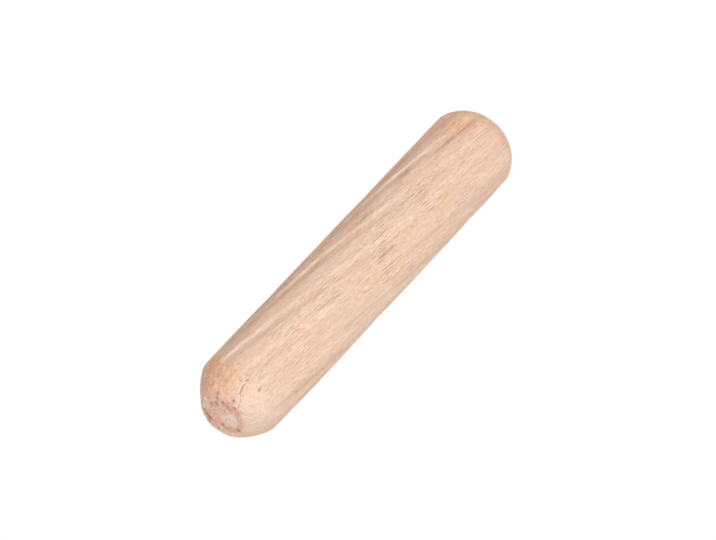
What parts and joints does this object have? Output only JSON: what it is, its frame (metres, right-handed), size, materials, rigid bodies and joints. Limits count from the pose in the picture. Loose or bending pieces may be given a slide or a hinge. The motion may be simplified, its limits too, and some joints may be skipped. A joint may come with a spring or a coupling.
{
  "type": "dowel pin",
  "caption": "Round wooden dowel pin with tapered ends and shallow helical glue grooves, for pinning and aligning wooden joints.",
  "frame": {"origin": "centre of the bottom end face, on which the pin stands", "axes": "+Z along the pin's axis, from the bottom end to the more tapered top end; X and Y across the pin"},
  "size_m": [0.008, 0.008, 0.04],
  "materials": {
    "wood": "bare, smooth-pressed hardwood with rough sawn ends"
  },
  "bodies": {
    "root": {"dowel_pin": "wood"}
  },
  "joints": []
}
